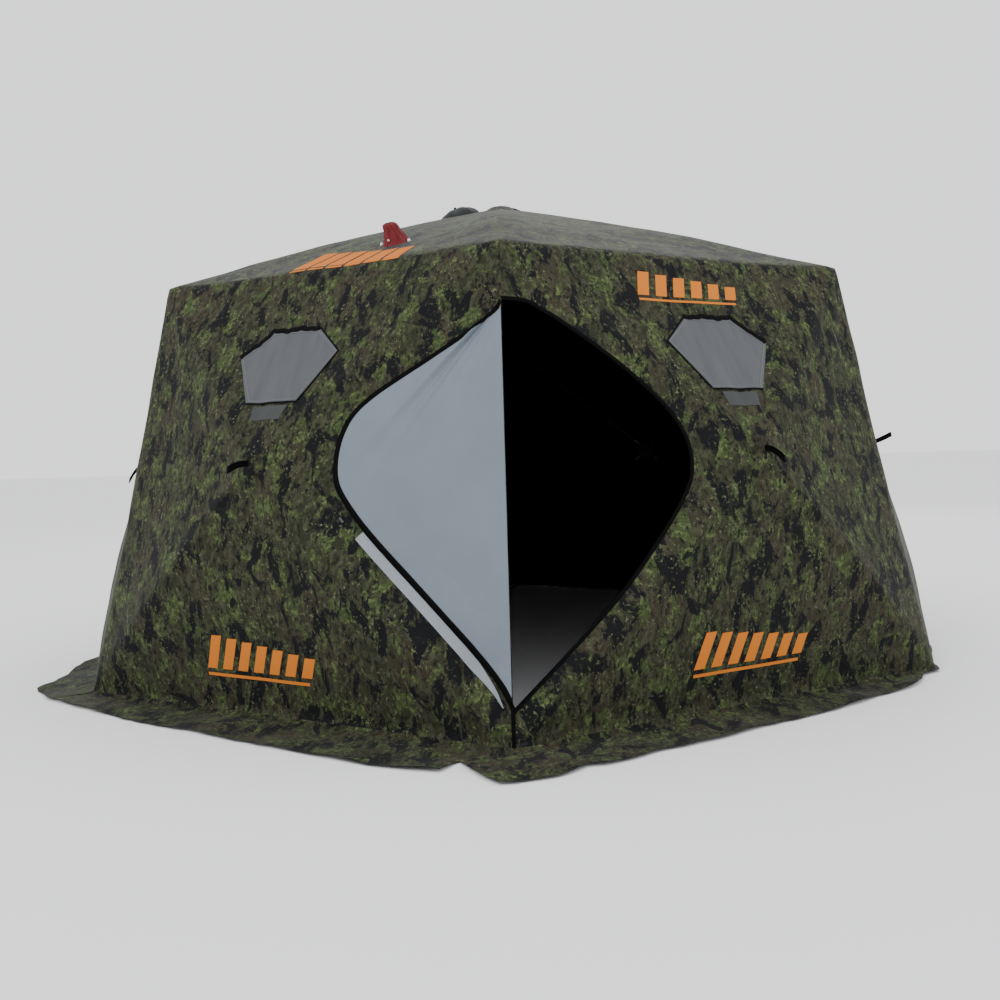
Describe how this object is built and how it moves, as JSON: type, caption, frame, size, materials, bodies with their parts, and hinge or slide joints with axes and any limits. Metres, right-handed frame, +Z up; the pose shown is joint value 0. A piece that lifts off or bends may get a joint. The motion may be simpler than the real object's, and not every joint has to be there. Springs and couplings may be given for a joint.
{
  "type": "pop up ground blind",
  "caption": "Free-standing six-sided pop-up ground blind: camouflage fabric over a hub-and-pole frame, with a zipped corner door, windows, roof sleeve, vent and ground skirt.",
  "frame": {"origin": "on the ground, straight below the roof hub, at the centre of the six-sided base", "axes": "+Z up; the door corner faces -Y; +X to the right of someone who faces the door from outside"},
  "size_m": [4.078, 4.7078, 2.2485],
  "materials": {
    "hub_plastic": "moulded nylon",
    "webbing": "woven webbing",
    "fibreglass": "pultruded rod",
    "camo_fabric": "printed woven polyester, dark woodland pattern",
    "skirt_fabric": "printed woven polyester, crumpled",
    "lining": "coated grey-blue lining",
    "sleeve_fabric": "gathered heat-resistant cloth",
    "vent_fabric": "dark coated cloth over a moulded hood",
    "window_film": "translucent grey film",
    "zip_metal": "black painted slider",
    "socket_plastic": "moulded nylon"
  },
  "bodies": {
    "tent": {"front_left_wall": "camo_fabric", "front_right_wall": "camo_fabric", "right_wall": "camo_fabric", "back_right_wall": "camo_fabric", "back_left_wall": "camo_fabric", "left_wall": "camo_fabric", "roof_canopy": "camo_fabric", "snow_skirt": "skirt_fabric", "left_window": "window_film", "right_window": "window_film", "eaves_corner_sockets": "socket_plastic", "base_corner_feet": "socket_plastic", "stove_sleeve": "sleeve_fabric", "roof_vent_hood": "vent_fabric"},
    "front_left_hub": {"front_left_hub": "hub_plastic", "front_left_pull_strap": "webbing"},
    "front_left_upper_left_pole": {"front_left_upper_left_pole": "fibreglass"},
    "front_left_upper_right_pole": {"front_left_upper_right_pole": "fibreglass"},
    "front_left_lower_left_pole": {"front_left_lower_left_pole": "fibreglass"},
    "front_left_lower_right_pole": {"front_left_lower_right_pole": "fibreglass"},
    "front_right_hub": {"front_right_hub": "hub_plastic", "front_right_pull_strap": "webbing"},
    "front_right_upper_left_pole": {"front_right_upper_left_pole": "fibreglass"},
    "front_right_upper_right_pole": {"front_right_upper_right_pole": "fibreglass"},
    "front_right_lower_left_pole": {"front_right_lower_left_pole": "fibreglass"},
    "front_right_lower_right_pole": {"front_right_lower_right_pole": "fibreglass"},
    "right_hub": {"right_hub": "hub_plastic", "right_pull_strap": "webbing"},
    "right_upper_left_pole": {"right_upper_left_pole": "fibreglass"},
    "right_upper_right_pole": {"right_upper_right_pole": "fibreglass"},
    "right_lower_left_pole": {"right_lower_left_pole": "fibreglass"},
    "right_lower_right_pole": {"right_lower_right_pole": "fibreglass"},
    "back_right_hub": {"back_right_hub": "hub_plastic", "back_right_pull_strap": "webbing"},
    "back_right_upper_left_pole": {"back_right_upper_left_pole": "fibreglass"},
    "back_right_upper_right_pole": {"back_right_upper_right_pole": "fibreglass"},
    "back_right_lower_left_pole": {"back_right_lower_left_pole": "fibreglass"},
    "back_right_lower_right_pole": {"back_right_lower_right_pole": "fibreglass"},
    "back_left_hub": {"back_left_hub": "hub_plastic", "back_left_pull_strap": "webbing"},
    "back_left_upper_left_pole": {"back_left_upper_left_pole": "fibreglass"},
    "back_left_upper_right_pole": {"back_left_upper_right_pole": "fibreglass"},
    "back_left_lower_left_pole": {"back_left_lower_left_pole": "fibreglass"},
    "back_left_lower_right_pole": {"back_left_lower_right_pole": "fibreglass"},
    "left_hub": {"left_hub": "hub_plastic", "left_pull_strap": "webbing"},
    "left_upper_left_pole": {"left_upper_left_pole": "fibreglass"},
    "left_upper_right_pole": {"left_upper_right_pole": "fibreglass"},
    "left_lower_left_pole": {"left_lower_left_pole": "fibreglass"},
    "left_lower_right_pole": {"left_lower_right_pole": "fibreglass"},
    "roof_hub": {"roof_hub": "hub_plastic", "roof_pull_strap": "webbing"},
    "roof_front_pole": {"roof_front_pole": "fibreglass"},
    "roof_front_right_pole": {"roof_front_right_pole": "fibreglass"},
    "roof_back_right_pole": {"roof_back_right_pole": "fibreglass"},
    "roof_back_pole": {"roof_back_pole": "fibreglass"},
    "roof_back_left_pole": {"roof_back_left_pole": "fibreglass"},
    "roof_front_left_pole": {"roof_front_left_pole": "fibreglass"},
    "door": {"door_flap": "lining"},
    "zip_slider": {"zip_slider": "zip_metal"}
  },
  "joints": [
    {"name": "front_left_pop", "type": "slide", "parent": "tent", "child": "front_left_hub", "axis": [-0.4908, -0.8501, 0.1912], "range_m": [-0.538, 0]},
    {"name": "front_left_upper_left_pivot", "type": "hinge", "parent": "front_left_hub", "child": "front_left_upper_left_pole", "pos_m": [-0.94752, -1.58105, 0.99777], "axis": [-0.6734, 0.2309, -0.7023], "range_deg": [-27.27, 0]},
    {"name": "front_left_upper_right_pivot", "type": "hinge", "parent": "front_left_hub", "child": "front_left_upper_right_pole", "pos_m": [-0.89547, -1.6111, 0.99777], "axis": [-0.5367, 0.4678, 0.7023], "range_deg": [-27.27, 0]},
    {"name": "front_left_lower_left_pivot", "type": "hinge", "parent": "front_left_hub", "child": "front_left_lower_left_pole", "pos_m": [-0.95448, -1.58957, 0.94206], "axis": [0.4929, -0.4518, -0.7436], "range_deg": [-23.55, 0]},
    {"name": "front_left_lower_right_pivot", "type": "hinge", "parent": "front_left_hub", "child": "front_left_lower_right_pole", "pos_m": [-0.89937, -1.62139, 0.94206], "axis": [0.6377, -0.201, 0.7436], "range_deg": [-23.55, 0]},
    {"name": "front_right_pop", "type": "slide", "parent": "tent", "child": "front_right_hub", "axis": [0.4908, -0.8501, 0.1912], "range_m": [-0.538, 0]},
    {"name": "front_right_upper_left_pivot", "type": "hinge", "parent": "front_right_hub", "child": "front_right_upper_left_pole", "pos_m": [0.89547, -1.6111, 0.99777], "axis": [-0.5367, -0.4678, -0.7023], "range_deg": [-27.27, 0]},
    {"name": "front_right_upper_right_pivot", "type": "hinge", "parent": "front_right_hub", "child": "front_right_upper_right_pole", "pos_m": [0.94752, -1.58105, 0.99777], "axis": [-0.6734, -0.2309, 0.7023], "range_deg": [-27.27, 0]},
    {"name": "front_right_lower_left_pivot", "type": "hinge", "parent": "front_right_hub", "child": "front_right_lower_left_pole", "pos_m": [0.89937, -1.62139, 0.94206], "axis": [0.6377, 0.201, -0.7436], "range_deg": [-23.55, 0]},
    {"name": "front_right_lower_right_pivot", "type": "hinge", "parent": "front_right_hub", "child": "front_right_lower_right_pole", "pos_m": [0.95448, -1.58957, 0.94206], "axis": [0.4929, 0.4518, 0.7436], "range_deg": [-23.55, 0]},
    {"name": "right_pop", "type": "slide", "parent": "tent", "child": "right_hub", "axis": [0.9816, 0, 0.1912], "range_m": [-0.538, 0]},
    {"name": "right_upper_left_pivot", "type": "hinge", "parent": "right_hub", "child": "right_upper_left_pole", "pos_m": [1.84299, -0.03005, 0.99777], "axis": [0.1368, -0.6987, -0.7023], "range_deg": [-27.27, 0]},
    {"name": "right_upper_right_pivot", "type": "hinge", "parent": "right_hub", "child": "right_upper_right_pole", "pos_m": [1.84299, 0.03005, 0.99777], "axis": [-0.1368, -0.6987, 0.7023], "range_deg": [-27.27, 0]},
    {"name": "right_lower_left_pivot", "type": "hinge", "parent": "right_hub", "child": "right_lower_left_pole", "pos_m": [1.85384, -0.03182, 0.94206], "axis": [0.1448, 0.6528, -0.7436], "range_deg": [-23.55, 0]},
    {"name": "right_lower_right_pivot", "type": "hinge", "parent": "right_hub", "child": "right_lower_right_pole", "pos_m": [1.85384, 0.03182, 0.94206], "axis": [-0.1448, 0.6528, 0.7436], "range_deg": [-23.55, 0]},
    {"name": "back_right_pop", "type": "slide", "parent": "tent", "child": "back_right_hub", "axis": [0.4908, 0.8501, 0.1912], "range_m": [-0.538, 0]},
    {"name": "back_right_upper_left_pivot", "type": "hinge", "parent": "back_right_hub", "child": "back_right_upper_left_pole", "pos_m": [0.94752, 1.58105, 0.99777], "axis": [0.6734, -0.2309, -0.7023], "range_deg": [-27.27, 0]},
    {"name": "back_right_upper_right_pivot", "type": "hinge", "parent": "back_right_hub", "child": "back_right_upper_right_pole", "pos_m": [0.89547, 1.6111, 0.99777], "axis": [0.5367, -0.4678, 0.7023], "range_deg": [-27.27, 0]},
    {"name": "back_right_lower_left_pivot", "type": "hinge", "parent": "back_right_hub", "child": "back_right_lower_left_pole", "pos_m": [0.95448, 1.58957, 0.94206], "axis": [-0.4929, 0.4518, -0.7436], "range_deg": [-23.55, 0]},
    {"name": "back_right_lower_right_pivot", "type": "hinge", "parent": "back_right_hub", "child": "back_right_lower_right_pole", "pos_m": [0.89937, 1.62139, 0.94206], "axis": [-0.6377, 0.201, 0.7436], "range_deg": [-23.55, 0]},
    {"name": "back_left_pop", "type": "slide", "parent": "tent", "child": "back_left_hub", "axis": [-0.4908, 0.8501, 0.1912], "range_m": [-0.538, 0]},
    {"name": "back_left_upper_left_pivot", "type": "hinge", "parent": "back_left_hub", "child": "back_left_upper_left_pole", "pos_m": [-0.89547, 1.6111, 0.99777], "axis": [0.5367, 0.4678, -0.7023], "range_deg": [-27.27, 0]},
    {"name": "back_left_upper_right_pivot", "type": "hinge", "parent": "back_left_hub", "child": "back_left_upper_right_pole", "pos_m": [-0.94752, 1.58105, 0.99777], "axis": [0.6734, 0.2309, 0.7023], "range_deg": [-27.27, 0]},
    {"name": "back_left_lower_left_pivot", "type": "hinge", "parent": "back_left_hub", "child": "back_left_lower_left_pole", "pos_m": [-0.89937, 1.62139, 0.94206], "axis": [-0.6377, -0.201, -0.7436], "range_deg": [-23.55, 0]},
    {"name": "back_left_lower_right_pivot", "type": "hinge", "parent": "back_left_hub", "child": "back_left_lower_right_pole", "pos_m": [-0.95448, 1.58957, 0.94206], "axis": [-0.4929, -0.4518, 0.7436], "range_deg": [-23.55, 0]},
    {"name": "left_pop", "type": "slide", "parent": "tent", "child": "left_hub", "axis": [-0.9816, 0, 0.1912], "range_m": [-0.538, 0]},
    {"name": "left_upper_left_pivot", "type": "hinge", "parent": "left_hub", "child": "left_upper_left_pole", "pos_m": [-1.84299, 0.03005, 0.99777], "axis": [-0.1368, 0.6987, -0.7023], "range_deg": [-27.27, 0]},
    {"name": "left_upper_right_pivot", "type": "hinge", "parent": "left_hub", "child": "left_upper_right_pole", "pos_m": [-1.84299, -0.03005, 0.99777], "axis": [0.1368, 0.6987, 0.7023], "range_deg": [-27.27, 0]},
    {"name": "left_lower_left_pivot", "type": "hinge", "parent": "left_hub", "child": "left_lower_left_pole", "pos_m": [-1.85384, 0.03182, 0.94206], "axis": [-0.1448, -0.6528, -0.7436], "range_deg": [-23.55, 0]},
    {"name": "left_lower_right_pivot", "type": "hinge", "parent": "left_hub", "child": "left_lower_right_pole", "pos_m": [-1.85384, -0.03182, 0.94206], "axis": [0.1448, -0.6528, 0.7436], "range_deg": [-23.55, 0]},
    {"name": "roof_pop", "type": "slide", "parent": "tent", "child": "roof_hub", "axis": [0, 0, 1], "range_m": [-0.98, 0]},
    {"name": "roof_front_pivot", "type": "hinge", "parent": "roof_hub", "child": "roof_front_pole", "pos_m": [0, -0.042, 2.198], "axis": [1, 0, 0], "range_deg": [-33.95, 0]},
    {"name": "roof_front_right_pivot", "type": "hinge", "parent": "roof_hub", "child": "roof_front_right_pole", "pos_m": [0.03637, -0.021, 2.198], "axis": [0.5, 0.866, 0], "range_deg": [-33.95, 0]},
    {"name": "roof_back_right_pivot", "type": "hinge", "parent": "roof_hub", "child": "roof_back_right_pole", "pos_m": [0.03637, 0.021, 2.198], "axis": [-0.5, 0.866, 0], "range_deg": [-33.95, 0]},
    {"name": "roof_back_pivot", "type": "hinge", "parent": "roof_hub", "child": "roof_back_pole", "pos_m": [0, 0.042, 2.198], "axis": [-1, 0, 0], "range_deg": [-33.95, 0]},
    {"name": "roof_back_left_pivot", "type": "hinge", "parent": "roof_hub", "child": "roof_back_left_pole", "pos_m": [-0.03637, 0.021, 2.198], "axis": [-0.5, -0.866, 0], "range_deg": [-33.95, 0]},
    {"name": "roof_front_left_pivot", "type": "hinge", "parent": "roof_hub", "child": "roof_front_left_pole", "pos_m": [-0.03637, -0.021, 2.198], "axis": [0.5, -0.866, 0], "range_deg": [-33.95, 0]},
    {"name": "door_fold", "type": "hinge", "parent": "tent", "child": "door", "pos_m": [0, -1.89004, 0.87926], "axis": [0, 0.2194, 0.9756], "range_deg": [0, 205.84]},
    {"name": "zip_slide", "type": "slide", "parent": "tent", "child": "zip_slider", "axis": [0.6269, -0.3083, -0.7155], "range_m": [0, 0.889]}
  ],
  "couplings": [
    {"joint": "front_left_upper_left_pivot", "follows": "front_left_pop", "rad_per_m": 0.88301},
    {"joint": "front_left_upper_right_pivot", "follows": "front_left_pop", "rad_per_m": 0.88301},
    {"joint": "front_left_lower_left_pivot", "follows": "front_left_pop", "rad_per_m": 0.7622},
    {"joint": "front_left_lower_right_pivot", "follows": "front_left_pop", "rad_per_m": 0.7622},
    {"joint": "front_right_upper_left_pivot", "follows": "front_right_pop", "rad_per_m": 0.88301},
    {"joint": "front_right_upper_right_pivot", "follows": "front_right_pop", "rad_per_m": 0.88301},
    {"joint": "front_right_lower_left_pivot", "follows": "front_right_pop", "rad_per_m": 0.7622},
    {"joint": "front_right_lower_right_pivot", "follows": "front_right_pop", "rad_per_m": 0.7622},
    {"joint": "right_upper_left_pivot", "follows": "right_pop", "rad_per_m": 0.88301},
    {"joint": "right_upper_right_pivot", "follows": "right_pop", "rad_per_m": 0.88301},
    {"joint": "right_lower_left_pivot", "follows": "right_pop", "rad_per_m": 0.7622},
    {"joint": "right_lower_right_pivot", "follows": "right_pop", "rad_per_m": 0.7622},
    {"joint": "back_right_upper_left_pivot", "follows": "back_right_pop", "rad_per_m": 0.88301},
    {"joint": "back_right_upper_right_pivot", "follows": "back_right_pop", "rad_per_m": 0.88301},
    {"joint": "back_right_lower_left_pivot", "follows": "back_right_pop", "rad_per_m": 0.7622},
    {"joint": "back_right_lower_right_pivot", "follows": "back_right_pop", "rad_per_m": 0.7622},
    {"joint": "back_left_upper_left_pivot", "follows": "back_left_pop", "rad_per_m": 0.88301},
    {"joint": "back_left_upper_right_pivot", "follows": "back_left_pop", "rad_per_m": 0.88301},
    {"joint": "back_left_lower_left_pivot", "follows": "back_left_pop", "rad_per_m": 0.7622},
    {"joint": "back_left_lower_right_pivot", "follows": "back_left_pop", "rad_per_m": 0.7622},
    {"joint": "left_upper_left_pivot", "follows": "left_pop", "rad_per_m": 0.88301},
    {"joint": "left_upper_right_pivot", "follows": "left_pop", "rad_per_m": 0.88301},
    {"joint": "left_lower_left_pivot", "follows": "left_pop", "rad_per_m": 0.7622},
    {"joint": "left_lower_right_pivot", "follows": "left_pop", "rad_per_m": 0.7622},
    {"joint": "roof_front_pivot", "follows": "roof_pop", "rad_per_m": 0.60365},
    {"joint": "roof_front_right_pivot", "follows": "roof_pop", "rad_per_m": 0.60365},
    {"joint": "roof_back_right_pivot", "follows": "roof_pop", "rad_per_m": 0.60365},
    {"joint": "roof_back_pivot", "follows": "roof_pop", "rad_per_m": 0.60365},
    {"joint": "roof_back_left_pivot", "follows": "roof_pop", "rad_per_m": 0.60365},
    {"joint": "roof_front_left_pivot", "follows": "roof_pop", "rad_per_m": 0.60365}
  ]
}
